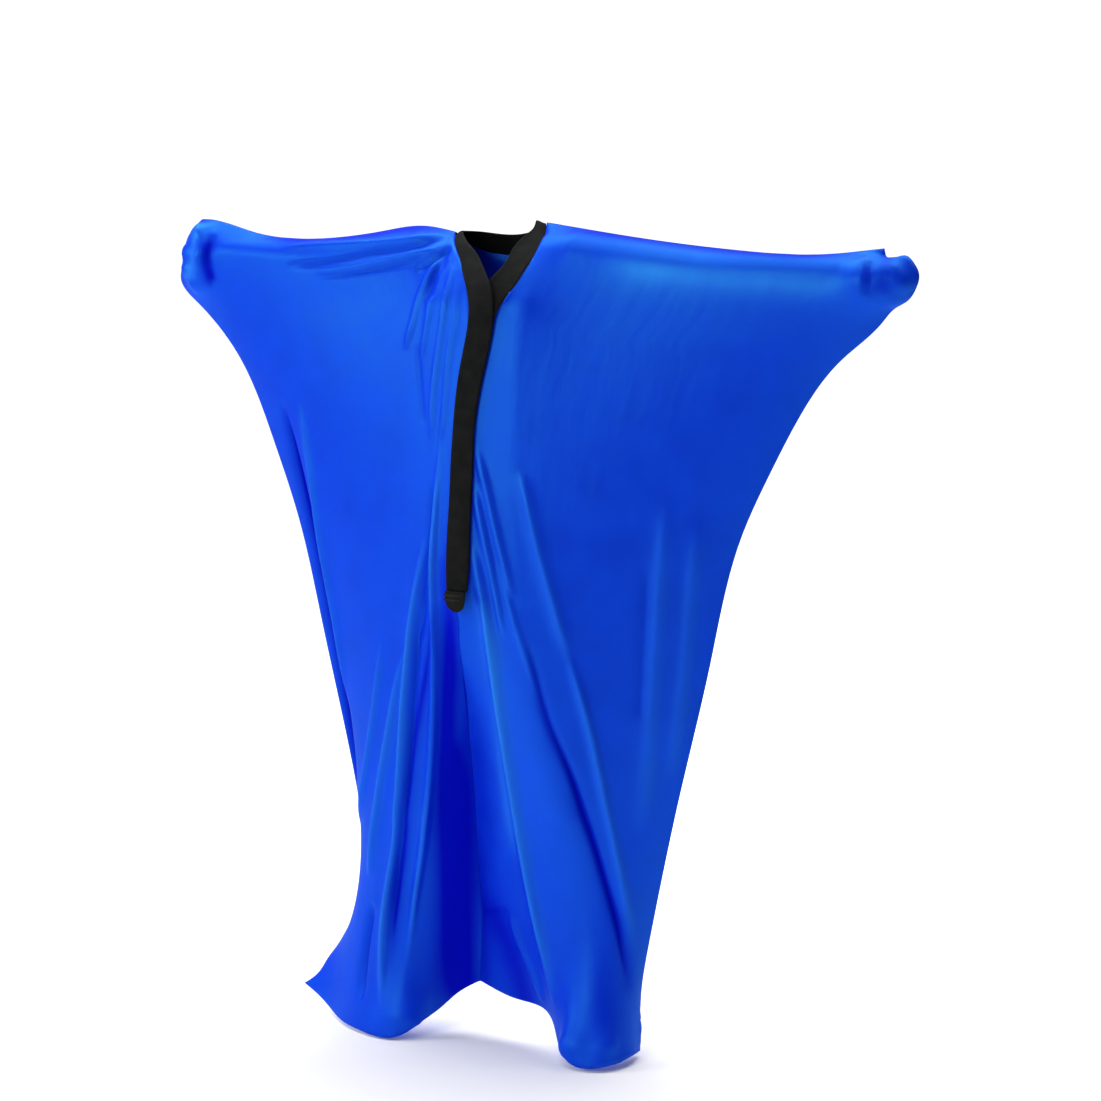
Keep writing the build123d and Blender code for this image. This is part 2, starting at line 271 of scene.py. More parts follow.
# ---- the cloth panels
def coons(top, bottom, near, far):
    """A grid of rows from top to bottom that fills four edges."""
    u = np.linspace(0, 1, len(top))[None, :, None]
    v = np.linspace(0, 1, len(near))[:, None, None]
    sides = near[:, None] * (1 - u) + far[:, None] * u
    ends = top[None] * (1 - v) + bottom[None] * v
    corners = (
        top[0] * (1 - u) * (1 - v) + top[-1] * u * (1 - v) + bottom[0] * (1 - u) * v + bottom[-1] * u * v
    )
    return sides + ends - corners


def bulged(grid, depth):
    """The grid with its inside moved along Y, so that it starts off the form."""
    rows, columns = grid.shape[:2]
    u = np.sin(np.pi * np.linspace(0, 1, columns)) ** 0.5
    v = np.sin(np.pi * np.linspace(0, 1, rows)) ** 0.5
    grid = grid.copy()
    grid[..., 1] += depth * v[:, None] * u[None]
    return grid


def relaxed(grid, rounds, clearance):
    """Pulls the inside of a grid taut over the form, with its edges held."""
    for turn in range(rounds):
        middle = (grid[:-2, 1:-1] + grid[2:, 1:-1] + grid[1:-1, :-2] + grid[1:-1, 2:]) / 4
        flat = middle.reshape(-1, 3)
        if turn % NEAR_ROUNDS == 0:
            near = form_distance(flat) < clearance + NEAR_FORM
        flat[near] = push_out(flat[near], clearance)
        grid[1:-1, 1:-1] = flat.reshape(middle.shape)
    return grid


def enlarged(grid, rows, columns):
    """The grid with more rows and columns between the same edges."""
    tall = np.stack([respaced_rows(grid[:, j], rows) for j in range(grid.shape[1])], axis=1)
    return np.stack([respaced_rows(tall[i], columns) for i in range(rows)], axis=0)


def respaced_rows(line, count):
    """count points at even steps of the line's own points."""
    return places(np.linspace(0, 1, count), np.linspace(0, 1, len(line)), line)


CLEARANCE = 1.5  # the cloth's inner face stays this far off the form
LEVELS = [(8, 240), (4, 150), (2, 80), (1, 30)]  # how coarse each stage is, and its rounds


def taut_panel(edges, rows, columns, guess):
    """A panel stretched over the form between its top, bottom, near and far
    edges. guess makes the first, coarsest grid from the edges at that size."""
    grid = None
    for coarse, rounds in LEVELS:
        level_rows, level_columns = rows // coarse, columns // coarse
        top, bottom = [respaced(edge, level_columns) for edge in edges[:2]]
        near, far = [respaced(edge, level_rows) for edge in edges[2:]]
        if grid is None:
            grid = guess(top, bottom, near, far)
        else:
            grid = enlarged(grid, level_rows, level_columns)
        grid[0], grid[-1] = top, bottom
        grid[:, 0], grid[:, -1] = near, far
        grid = relaxed(grid, rounds, CLEARANCE)
    return grid


START_DEPTH = 90  # the coarsest grids bulge this far, to start clear of the form


def front_guess(top, bottom, near, far):
    return bulged(coons(top, bottom, near, far), -START_DEPTH)


SOLE_SHARE = 0.1  # the share of the back layer's rows that lie under the feet


def back_guess(top, bottom, near, far):
    """The back layer's first shape: down to the heels, then forward under the feet."""
    split = int(round(len(near) * (1 - SOLE_SHARE)))
    heel = respaced(joined(heel_right[::-1], heel_left), len(top))
    heel[0], heel[-1] = near[split], far[split]
    upper = bulged(coons(top, heel, near[: split + 1], far[: split + 1]), START_DEPTH)
    upper[-1] = heel
    lower = coons(heel, bottom, near[split:], far[split:])
    return np.concatenate([upper, lower[1:]])


ROWS = 288
FRONT_COLUMNS = 160
BACK_COLUMNS = 192

# The placket's two edges, each as (across, up) in its own axes.
SEWN_EDGE = [
    (2.4, 293), (3.3, 272), (1, 251), (-1.3, 237), (-3.4, 206), (-3.6, 175), (-3.2, 140), (-1.2, 96),
    (-0.8, 64), (0.7, 32), (2.1, 14), (4, 1),
]
FREE_EDGE = [
    (34, 297), (34.2, 279), (31.3, 258), (27.5, 234), (23.6, 205), (21.8, 180), (21.8, 160), (24, 121),
    (24.6, 98), (26.1, 67), (28.2, 35), (28.5, 1),
]
RIGHT_EDGE_DEPTH = -1.4  # the right panel's slit edge, behind the overlap's face
LEFT_EDGE_DEPTH = -5.4  # the left panel's, behind the underlap's face
TUCK = 3.0  # how far the panels reach in under the bands

slit_right = [on_placket(x + TUCK, y, RIGHT_EDGE_DEPTH) for x, y in SEWN_EDGE]
slit_left = [on_placket(x - TUCK - 1.5, y, LEFT_EDGE_DEPTH) for x, y in FREE_EDGE]
slit_foot = on_placket(14, -15, -1.5)

NECK_SEWN_RIGHT = [NECK_RIGHT, (-51, 2, 17), (-43, -13, 9), (-27, -32, -9), (-11, -49, -33)]
NECK_SEWN_LEFT = [NECK_LEFT, (57, 2, 18), (58, -9, 6), (52, -27, -9), (42, -45, -33), (31, -56, -54)]

# How many points each kind of edge has before it is shared out over a grid.
MIDDLE_POINTS, FOOT_POINTS = 200, 20
LINE_POINTS, SIDE_POINTS, NECK_POINTS = 300, 500, 120


def middle_edge(neck, slit):
    """A front panel's edge along the neck and the slit, then down the centre seam."""
    return joined(
        smooth_line(neck + slit, MIDDLE_POINTS),
        smooth_line([slit[-1], slit_foot], FOOT_POINTS),
        smooth_line([slit_foot] + CENTRE_SEAM + [HEM_MIDDLE], MIDDLE_POINTS),
    )


near_right = middle_edge(NECK_SEWN_RIGHT, slit_right)
near_left = middle_edge(NECK_SEWN_LEFT, slit_left)
arm_top_right, arm_top_left, hem_right, hem_left, heel_right, heel_left = [
    smooth_line(points, LINE_POINTS)
    for points in (ARM_TOP_RIGHT, ARM_TOP_LEFT, HEM_RIGHT, HEM_LEFT, HEEL_RIGHT, HEEL_LEFT)
]
side_right = smooth_line(SIDE_RIGHT, SIDE_POINTS)
side_left = smooth_line(SIDE_LEFT, SIDE_POINTS)
neckline_back = smooth_line(NECKLINE_BACK, NECK_POINTS)

right_edges = (arm_top_right, hem_right, near_right, side_right)
left_edges = (arm_top_left, hem_left, near_left, side_left)
front_right = taut_panel(right_edges, ROWS, FRONT_COLUMNS, front_guess)
front_left = taut_panel(left_edges, ROWS, FRONT_COLUMNS, front_guess)
back_top = joined(arm_top_right[::-1], neckline_back, arm_top_left)
back_bottom = joined(hem_right[::-1], hem_left)
back = taut_panel((back_top, back_bottom, side_right, side_left), ROWS, BACK_COLUMNS, back_guess)


def unit(vectors):
    """The same vectors with length 1."""
    return vectors / np.maximum(np.linalg.norm(vectors, axis=-1, keepdims=True), 1e-12)


def grid_normals(grid):
    """Unit normals of a grid, from its neighbours."""
    return unit(np.cross(np.gradient(grid, axis=0), np.gradient(grid, axis=1)))


# ---- folds
# Each fold is (height, half width, [(x, z), ...]) along its crest, seen from the
# front. A negative height is a valley. Folds fade in and out at their ends.
FOLDS_RIGHT = [
    (-5, 6, [(-378, 30), (-377, 9), (-378, -11), (-375, -29)]),
    (3.5, 5, [(-404, 45), (-392, 25), (-393, 2), (-404, -22)]),
    (-11, 7, [(-283, -160), (-268, -217), (-253, -274), (-226, -387), (-198, -523), (-187, -605)]),
    (5, 6, [(-254, -159), (-237, -238), (-228, -318), (-206, -420), (-196, -512)]),
    (-4.5, 4, [(-52, 19), (-84, 10), (-138, 4), (-206, -5), (-263, -8)]),
    (4, 4, [(-58, 23), (-110, 17), (-191, 14), (-273, 13)]),
    (3.5, 4, [(-59, 8), (-106, -1), (-173, -12), (-216, -16)]),
    (-3, 3.5, [(-68, -3), (-108, -9), (-161, -16), (-223, -21)]),
    (-5, 3.5, [(-46, 10), (-59, -3), (-73, -12), (-85, -16)]),
    (-5, 3, [(-45, 5), (-55, -8), (-59, -29), (-65, -53)]),
    (-4, 3, [(-46, -4), (-51, -22), (-55, -51)]),
    (4.5, 3.5, [(-52, 3), (-62, -16), (-72, -43), (-81, -75), (-90, -102)]),
    (3.5, 3, [(-46, -4), (-52, -33), (-58, -70), (-66, -113)]),
    (4, 3.5, [(-36, -10), (-36, -49), (-42, -102), (-48, -155), (-48, -198)]),
    (3, 3, [(-25, -26), (-22, -60), (-28, -102), (-31, -155), (-37, -209)]),
    (-3, 3, [(-74, -96), (-67, -140), (-61, -183)]),
    (-5, 4, [(-45, -241), (-49, -295), (-56, -360), (-62, -415)]),
    (9, 5, [(-35, -198), (-38, -285), (-42, -391), (-51, -502), (-69, -616), (-90, -722),
         (-96, -790)]),
    (12, 6, [(-58, -307), (-71, -393), (-86, -504), (-96, -595), (-116, -690), (-124, -782),
         (-118, -836)]),
    (8, 5, [(-89, -428), (-103, -486), (-122, -555), (-140, -626), (-155, -694)]),
    (5, 4, [(-123, -422), (-137, -491), (-160, -575), (-181, -639)]),
    (-8, 5, [(-61, -371), (-77, -482), (-89, -583), (-109, -679), (-117, -759)]),
    (-6, 6, [(-146, -721), (-154, -779), (-154, -831)]),
]
LEFT_SHIN_VALLEY = [(66, -409), (84, -488), (112, -567), (139, -668), (156, -732), (164, -790)]
FOLDS_LEFT = [
    (-2.5, 6, [(410, -6), (413, -26), (410, -48)]),
    (5, 4, [(7, -204), (19, -244), (30, -287), (41, -329), (51, -366)]),
    (5, 4, [(6, -245), (17, -292), (29, -345), (41, -409)]),
    (10, 7, [(6, -308), (21, -388), (29, -475), (39, -575), (52, -675), (69, -751), (86, -813)]),
    (5, 7, [(56, -228), (73, -302), (90, -366), (107, -430)]),
    (-8, 4.5, LEFT_SHIN_VALLEY),
    (6, 5, [(104, -418), (126, -504), (141, -590), (156, -678), (164, -747)]),
    (3.5, 9, [(203, -259), (195, -344), (188, -430), (182, -516), (171, -614)]),
    (3, 8, [(233, -280), (223, -366), (213, -462), (198, -561)]),
    (-2.5, 7, [(184, -323), (179, -408), (173, -494)]),
    (-1.6, 3, [(-27, -729), (-18, -725), (17, -718)]),
    (3.5, 5, [(16, -721), (33, -759), (50, -790), (62, -817)]),
    (4, 4, [(33, -324), (58, -408), (86, -494), (112, -580)]),
]
FOLDS_BACK = [
    (6, 6, [(-50, -60), (-74, -160), (-92, -270), (-104, -390), (-122, -520)]),
    (-6.5, 5, [(-20, -40), (-34, -150), (-50, -270), (-60, -400)]),
    (6, 6, [(56, -50), (74, -150), (90, -260), (104, -380), (118, -500)]),
    (-6.5, 5, [(24, -40), (30, -140), (44, -260), (52, -390)]),
    (9, 7, [(-24, -420), (-50, -520), (-84, -640), (-112, -760)]),
    (9, 7, [(20, -420), (48, -520), (80, -640), (108, -760)]),
    (-7.5, 6, [(-6, -440), (-14, -560), (-22, -680), (-28, -760)]),
    (6, 7, [(-120, -20), (-190, -110), (-222, -250), (-214, -400)]),
    (6, 7, [(130, -30), (196, -120), (222, -260), (206, -420)]),
    (5, 5, [(-70, 4), (-150, -8), (-240, -20), (-330, -18)]),
    (5, 5, [(70, 2), (150, -14), (240, -34), (340, -46)]),
    (-5, 5, [(-150, -460), (-164, -560), (-172, -660)]),
    (-5, 5, [(140, -470), (154, -570), (160, -680)]),
]
# Painted light on the cloth's colour, in the same form: negative heights are painted shade in creases,
# hollows and faces turned from the lamps, and positive ones are painted highlight where the lamps would
# shine.
PAINTED_LIGHT_RIGHT = [
    (-1.1, 19, [(-14, -303), (-18, -357), (-25, -413), (-35, -480), (-44, -560), (-52, -642),
                (-56, -720), (-58, -810), (-58, -900)]),
    (-0.6, 14, [(-28, -520), (-35, -643), (-38, -714), (-42, -790), (-44, -880)]),
    (-0.8, 7, [(-36, -369), (-58, -458), (-79, -549), (-95, -641), (-111, -723), (-114, -800)]),
    (-0.8, 7, [(-283, -160), (-253, -274), (-226, -387), (-198, -523), (-187, -605)]),
    (-0.85, 10, [(-382, 30), (-383, 9), (-384, -11), (-378, -31)]),
    (1.4, 6, [(-404, 48), (-402, 31), (-398, 6), (-417, -22)]),
    (-0.9, 9, [(-56, 24), (-93, 30), (-145, 27), (-232, 21), (-310, 26)]),
]
PAINTED_LIGHT_LEFT = [
    (0.8, 10, [(21, -366), (24, -453), (23, -544), (31, -657)]),
    (-0.6, 4.5, LEFT_SHIN_VALLEY),
    (-0.85, 26, [(-25, -700), (0, -738), (17, -772), (30, -820), (40, -880)]),
    (-0.6, 12, [(-28, -620), (-27, -726), (-26, -800), (-24, -880)]),
    (0.85, 16, [(128, -12), (235, -26), (341, -34), (397, -38)]),
    (-0.9, 9, [(54, 30), (105, 24), (184, 13), (270, 1), (348, -4), (400, -2)]),
    (-0.5, 10, [(424, 2), (428, -22), (426, -48)]),
]
FOLD_FADE = 0.22  # the share of a fold's length over which each end fades
PATH_STEP = 1.5  # how closely a fold's path is sampled
EDGE_HOLD = 9.0  # folds die away this near a panel's edge
FOLD_REACH = 5  # a fold is felt this many half widths away
FOLD_POWER = 1.8  # how steeply its sides fall
# a fold this high gets full painted highlight, and a valley this deep full painted shade
LIFT_OF_FULL_PAINTED_LIGHT = 14.0


def fold_height(flat, folds):
    """How far folds lift points given as x, z."""
    lift = np.zeros(len(flat))
    for height, width, path in folds:
        steps = np.linalg.norm(np.diff(np.array(path, float), axis=0), axis=1)
        line = smooth_line(path, int(steps.sum() / PATH_STEP) + 2)
        low = line.min(0) - FOLD_REACH * width
        high = line.max(0) + FOLD_REACH * width
        near = np.where(((flat > low) & (flat < high)).all(1))[0]
        if not len(near):
            continue
        gaps = flat[near][:, None, :] - line[None]
        square = (gaps * gaps).sum(2)
        best = square.argmin(1)
        t = best / (len(line) - 1)
        fade = np.sin(np.clip(np.minimum(t, 1 - t) / FOLD_FADE, 0, 1) * np.pi / 2)
        away = square[np.arange(len(near)), best] / width**2
        lift[near] += height * fade / (1 + away) ** FOLD_POWER
    return lift


def runs(grid):
    """Distances along a grid's rows and down its columns, in millimetres."""
    across = np.linalg.norm(np.diff(grid, axis=1), axis=2)
    down = np.linalg.norm(np.diff(grid, axis=0), axis=2)
    from_near = np.concatenate([np.zeros((grid.shape[0], 1)), np.cumsum(across, axis=1)], axis=1)
    from_top = np.concatenate([np.zeros((1, grid.shape[1])), np.cumsum(down, axis=0)], axis=0)
    return from_near, from_top


def edge_distance(grid):
    """How far each point is from the panel's edge, roughly, in millimetres."""
    from_near, from_top = runs(grid)
    from_far = from_near[:, -1:] - from_near
    from_bottom = from_top[-1:] - from_top
    return np.minimum(np.minimum(from_near, from_far), np.minimum(from_top, from_bottom))


def edge_hold(grid):
    """0 at a panel's edge, rising to 1 where folds are free."""
    return np.sin(np.clip(edge_distance(grid) / EDGE_HOLD, 0, 1) * np.pi / 2)


def outward_normals(grid, outward):
    """A grid's normals, turned to the side that outward points to."""
    normal = grid_normals(grid)
    return normal if (normal * np.array(outward, float)).sum() > 0 else -normal


def lifts(grid, folds):
    """How far folds lift each point of a grid."""
    return fold_height(grid[..., [0, 2]].reshape(-1, 2), folds).reshape(grid.shape[:2]) * edge_hold(grid)


def painted_light_of(grid, folds, painted_paths):
    """Painted light over a grid: painted highlight on ridges, painted shade in valleys, plus the painted
    paths.
    """
    from_folds = lifts(grid, folds) / LIFT_OF_FULL_PAINTED_LIGHT
    painted = fold_height(grid[..., [0, 2]].reshape(-1, 2), painted_paths).reshape(grid.shape[:2])
    return np.clip(from_folds + painted, -1, 1)


FRONT = (0, -1, 0)
BEHIND = (0, 1, 0)
# Painted shade and painted highlight for each layer of cloth.
painted_light_on_right = painted_light_of(front_right, FOLDS_RIGHT, PAINTED_LIGHT_RIGHT)
painted_light_on_left = painted_light_of(front_left, FOLDS_LEFT, PAINTED_LIGHT_LEFT)
painted_light_on_back = painted_light_of(back, FOLDS_BACK, [])
# Where the front layer dips, the back layer gives way behind it.
back[..., 1] += np.maximum(-lifts(back, FOLDS_RIGHT + FOLDS_LEFT), 0)
DEEPEST_BACK_VALLEY = -3
back_lifts = np.maximum(lifts(back, FOLDS_BACK), DEEPEST_BACK_VALLEY)
back += outward_normals(back, BEHIND) * back_lifts[..., None]
for front, folds in ((front_right, FOLDS_RIGHT), (front_left, FOLDS_LEFT)):
    front += outward_normals(front, FRONT) * lifts(front, folds)[..., None]

LAYER_GAP = 2.4  # the back layer stays this far behind the front one
SAME_PLACE = 5.0  # a front point within this distance, seen from the front, covers a back one
EASING_ROUNDS = 30


def kept_behind(grid, fronts):
    """The back layer, eased backward wherever it would come through the front one."""
    covers = np.concatenate([front.reshape(-1, 3) for front in fronts])
    tree = KDTree(len(covers))
    for index, (x, _, z) in enumerate(covers):
        tree.insert((x, 0, z), index)
    tree.balance()
    hold = edge_hold(grid)
    needed = np.zeros(hold.shape)
    for place in np.ndindex(hold.shape):
        x, y, z = grid[place]
        _, index, away = tree.find((x, 0, z))
        if away < SAME_PLACE:
            needed[place] = max(covers[index, 1] + LAYER_GAP * hold[place] - y, 0)
    needed *= hold > 0
    push = needed.copy()
    for _ in range(EASING_ROUNDS):
        middle = (push[:-2, 1:-1] + push[2:, 1:-1] + push[1:-1, :-2] + push[1:-1, 2:]) / 4
        push[1:-1, 1:-1] = np.maximum(needed[1:-1, 1:-1], middle)
    moved = grid.copy()
    moved[..., 1] += push
    return moved


back = kept_behind(back, (front_right, front_left))


# ---- making meshes
def mesh_object(name, points, faces, material, uv=None, values=()):
    """An object from points in millimetres and faces as rows of indices.
    values are pairs of a name and one number per point, for the material."""
    mesh = bpy.data.meshes.new(name)
    points = np.asarray(points, float) * MM
    faces = np.asarray(faces, np.int32)
    mesh.vertices.add(len(points))
    mesh.vertices.foreach_set("co", points.astype(np.float32).ravel())
    mesh.loops.add(faces.size)
    mesh.loops.foreach_set("vertex_index", faces.ravel())
    mesh.polygons.add(len(faces))
    width = faces.shape[1]
    mesh.polygons.foreach_set("loop_start", np.arange(0, faces.size, width, dtype=np.int32))
    mesh.polygons.foreach_set("use_smooth", np.ones(len(faces), bool))
    mesh.update(calc_edges=True)
    if uv is not None:
        layer = mesh.uv_layers.new(name="cloth")
        layer.data.foreach_set("uv", np.asarray(uv, np.float32)[faces.ravel()].ravel())
    for key, numbers in values:
        attribute = mesh.attributes.new(key, "FLOAT", "POINT")
        attribute.data.foreach_set("value", np.asarray(numbers, np.float32))
    mesh.validate()
    mesh.materials.append(material)
    made = bpy.data.objects.new(name, mesh)
    scene.collection.objects.link(made)
    return made


def grid_faces(rows, columns):
    """Quads of a grid, one row of indices each."""
    i, j = np.meshgrid(np.arange(rows - 1), np.arange(columns - 1), indexing="ij")
    a = (i * columns + j).ravel()
    return np.stack([a, a + 1, a + columns + 1, a + columns], axis=1)


def rim_indices(rows, columns):
    """The indices round a grid's edge, in order."""
    top = np.arange(columns)
    right = np.arange(1, rows) * columns + columns - 1
    bottom = (rows - 1) * columns + np.arange(columns - 2, -1, -1)
    left = np.arange(rows - 2, 0, -1) * columns
    return np.concatenate([top, right, bottom, left])


def cloth_uv(grid):
    """Distances along and down the cloth, in metres."""
    across, down = runs(grid)
    return np.stack([across, -down], axis=2).reshape(-1, 2) * MM


CLOTH_THICKNESS = 0.8
CLOTH_BACKING = 0.05  # the inner face stands this far off the grid
TAUT_REACH = 14.0  # cloth this far off the form is slack


def sheet_object(name, grid, outward, painted_light, material):
    """A closed layer of cloth that stands outward from the grid."""
    normal = outward_normals(grid, outward)
    rows, columns = grid.shape[:2]
    outer = (grid + normal * CLOTH_THICKNESS).reshape(-1, 3)
    inner = (grid + normal * CLOTH_BACKING).reshape(-1, 3)
    count = len(outer)
    front = grid_faces(rows, columns)
    cross = np.cross(grid[1, 0] - grid[0, 0], grid[0, 1] - grid[0, 0])
    rim = rim_indices(rows, columns)
    if cross @ normal[0, 0] > 0:
        front = front[:, ::-1]
    else:
        rim = rim[::-1]
    rear = front[:, ::-1] + count
    following = np.roll(rim, -1)
    side = np.stack([rim, following, following + count, rim + count], axis=1)
    uv = cloth_uv(grid)
    gap = form_distance(grid.reshape(-1, 3))
    taut = np.clip(1 - (gap - CLEARANCE) / TAUT_REACH, 0, 1)
    # The last values carry the painted shade and painted highlight to the material.
    return mesh_object(
        name,
        np.concatenate([outer, inner]),
        np.concatenate([front, rear, side]),
        material,
        np.concatenate([uv, uv]),
        (("taut", np.tile(taut, 2)), ("painted_light", np.tile(painted_light.ravel(), 2))),
    )


FACE_POINTS = 17  # across each face of a band
EDGE_POWER = 12  # how square a band's edges are
RIPPLES = ((0.35, 13.0, 0), (0.25, 5.7, 1))  # height, length and start of a band's unevenness


class Band:
    """A flat band of cloth from stations that each give its two edges."""

    def __init__(self, stations, rows, facing):
        pairs = smooth_line([tuple(a) + tuple(b) for a, b in stations], rows)
        self.first, self.second = pairs[:, :3], pairs[:, 3:]
        along = np.gradient(self.first + self.second, axis=0)
        self.normal = unit(np.cross(along, self.second - self.first)) * facing
        self.run = run_along((self.first + self.second) / 2)

    def line(self, share, lift):
        """A line along the band, at a share of its width and off its middle."""
        return self.first * (1 - share) + self.second * share + self.normal * lift

    def made(self, name, thickness, crown, material):
        """The band as a closed strip with rounded edges, a little raised between them."""
        across = np.sin(np.linspace(-np.pi / 2, np.pi / 2, FACE_POINTS))
        edge = np.sqrt(1 - np.abs(across) ** EDGE_POWER)
        across = np.concatenate([across, across[-2:0:-1]])
        edge = np.concatenate([edge, -edge[-2:0:-1]])
        uneven = 1 + sum(height * np.sin(self.run / length + at) for height, length, at in RIPPLES)
        points = []
        for x, t in zip(across, edge):
            points.append(self.line(0.5 + x / 2, 0) + self.normal * (
                t * thickness / 2 + crown * (1 - x * x) * uneven
            )[:, None])
        points = np.stack(points, axis=1)
        rows, ring = points.shape[:2]
        faces = []
        for i in range(rows - 1):
            for j in range(ring):
                k = (j + 1) % ring
                faces.append((i * ring + j, (i + 1) * ring + j, (i + 1) * ring + k, i * ring + k))
        # Each end closes with quads between the two faces of the band.
        half = ring // 2
        for start in (0, (rows - 1) * ring):
            for j in range(half):
                a, b = start + j, start + j + 1
                c, d = start + (ring - j - 1) % ring, start + (ring - j) % ring
                quad = (a, b, c, d) if start == 0 else (d, c, b, a)
                if len(set(quad)) == 4:
                    faces.append(quad)
        width = np.linalg.norm(self.second - self.first, axis=1)
        u = across[None] * width[:, None] / 2
        v = np.repeat(self.run[:, None], ring, axis=1)
        uv = np.stack([u, v], axis=2).reshape(-1, 2) * MM
        made = mesh_object(name, points.reshape(-1, 3), faces, material, uv)
        close_ends(made)
        return made


def close_ends(made):
    """Fills what is still open in a mesh and turns all its faces outward."""
    shape = bmesh.new()
    shape.from_mesh(made.data)
    open_edges = [edge for edge in shape.edges if edge.is_boundary]
    if open_edges:
        bmesh.ops.holes_fill(shape, edges=open_edges)
    bmesh.ops.recalc_face_normals(shape, faces=shape.faces)
    shape.to_mesh(made.data)
    shape.free()


def small_tube(path, radii):
    """A thin four-sided tube along a short path, closed at both ends."""
    path = np.array(path, float)
    along = unit(np.gradient(path, axis=0))
    side = unit(np.cross(along, (0.1, 1.0, 0.2)))
    other = np.cross(along, side)
    ring = []
    for quarter in range(4):
        angle = quarter * math.pi / 2
        ring.append(path + (side * math.cos(angle) + other * math.sin(angle)) * np.array(radii)[:, None])
    points = np.stack(ring, axis=1).reshape(-1, 3)
    faces = []
    for i in range(len(path) - 1):
        for k in range(4):
            a, b = 4 * i + k, 4 * i + (k + 1) % 4
            faces.append((a, b, b + 4, a + 4))
    last = 4 * (len(path) - 1)
    faces.append((3, 2, 1, 0))
    faces.append((last, last + 1, last + 2, last + 3))
    return points, faces


def copies(name, shape, frames, material):
    """One object of many copies of a small shape, each at an origin with three axes."""
    points, faces = shape
    count = len(points)
    placed = np.concatenate([origin + points @ np.array(axes) for origin, axes in frames])
    repeated = np.concatenate([np.array(faces) + k * count for k in range(len(frames))])
    return mesh_object(name, placed, repeated, material)


STITCH = 2.6  # a stitch's length
STITCH_PITCH = 3.4
THREAD = 0.22  # the thread's radius


def stitches(name, line, normal, material):
    """A row of stitches along a line, lying on the face with those normals."""
    run = run_along(line)
    frames = []
    for at in np.arange(STITCH_PITCH, run[-1] - STITCH, STITCH_PITCH):
        here = places(at, run, line)
        up = unit(places(at, run, normal))
        along = unit(places(at + 1, run, line) - here)
        frames.append((here, (along, unit(np.cross(up, along)), up)))
    half = STITCH / 2
    shape = small_tube(
        [(-half, 0, -0.25), (-half * 0.7, 0, 0.05), (0, 0, 0.16), (half * 0.7, 0, 0.05), (half, 0, -0.25)],
        [THREAD * 0.6, THREAD, THREAD, THREAD, THREAD * 0.6],
    )
    return copies(name, shape, frames, material)


# ---- materials
def new_material(name):
    material = bpy.data.materials.new(name)
    material.use_nodes = True
    return material, material.node_tree.nodes, material.node_tree.links


def add_node(nodes, kind, settings=None, **values):
    """A node with its properties set, and its unlinked inputs by name."""
    made = nodes.new(kind)
    for key, value in (settings or {}).items():
        setattr(made, key, value)
    for key, value in values.items():
        made.inputs[key.replace("_", " ")].default_value = value
    return made


def scaled(nodes, links, source, scale):
    """Texture coordinates from source, multiplied by scale along each axis."""
    mapping = add_node(nodes, "ShaderNodeMapping")
    mapping.inputs["Scale"].default_value = scale
    links.new(source, mapping.inputs["Vector"])
    return mapping.outputs["Vector"]


def noise(nodes, links, source, scale, detail):
    """Cloudy texture over source, from 0 to 1."""
    made = add_node(nodes, "ShaderNodeTexNoise", Scale=scale, Detail=detail)
    links.new(source, made.inputs["Vector"])
    return made.outputs["Fac"]


def waves(nodes, links, source, direction, distortion):
    """Ribs over source along one axis, from 0 to 1."""
    settings = {"bands_direction": direction}
    made = add_node(nodes, "ShaderNodeTexWave", settings, Scale=1.0, Distortion=distortion)
    links.new(source, made.inputs["Vector"])
    return made.outputs["Fac"]


def ramp(nodes, links, source, stops):
    """A colour ramp over source. Each stop is a place and a colour."""
    made = nodes.new("ShaderNodeValToRGB")
    elements = made.color_ramp.elements
    while len(elements) < len(stops):
        elements.new(0.5)
    for element, (place, colour) in zip(elements, stops):
        element.position = place
        element.color = (*colour, 1)
    links.new(source, made.inputs["Fac"])
    return made.outputs["Color"]


def remapped(nodes, links, source, low, high, new_low, new_high):
    """source, stretched from one range to another and held inside it."""
    made = nodes.new("ShaderNodeMapRange")
    for socket, value in zip(("From Min", "From Max", "To Min", "To Max"), (low, high, new_low, new_high)):
        made.inputs[socket].default_value = value
    links.new(source, made.inputs["Value"])
    return made.outputs["Result"]


def blended_colour(nodes, links, share, colour, towards):
    """A colour moved by a share towards a fixed one."""
    made = add_node(nodes, "ShaderNodeMix", {"data_type": "RGBA"})
    links.new(share, made.inputs[0])
    first, second = [socket for socket in made.inputs if socket.type == "RGBA"]
    links.new(colour, first)
    second.default_value = (*towards, 1)
    return [socket for socket in made.outputs if socket.type == "RGBA"][0]


def bumped(nodes, links, shader, layers):
    """Chains bump layers into a shader. Each is a height, a strength and a distance."""
    normal = None
    for height, strength, distance in layers:
        made = add_node(nodes, "ShaderNodeBump", Strength=strength, Distance=distance)
        links.new(height, made.inputs["Height"])
        if normal is not None:
            links.new(normal, made.inputs["Normal"])
        normal = made.outputs["Normal"]
    links.new(normal, shader.inputs["Normal"])


SATIN = (0.08, 0.8, 1.0, 1)  # the colour that the knit shines
SATIN_SHARE = 0.06
DARKER_DYE = (0.0, 0.011, 0.6)
LIGHTER_DYE = (0.0, 0.016, 0.67)
THIN = (0.003, 0.05, 0.72)
# Colours for painted highlight and painted shade, mixed in by the painted light.
PAINTED_HIGHLIGHT = (0.012, 0.105, 0.76)
PAINTED_SHADE = (0.0, 0.0008, 0.47)


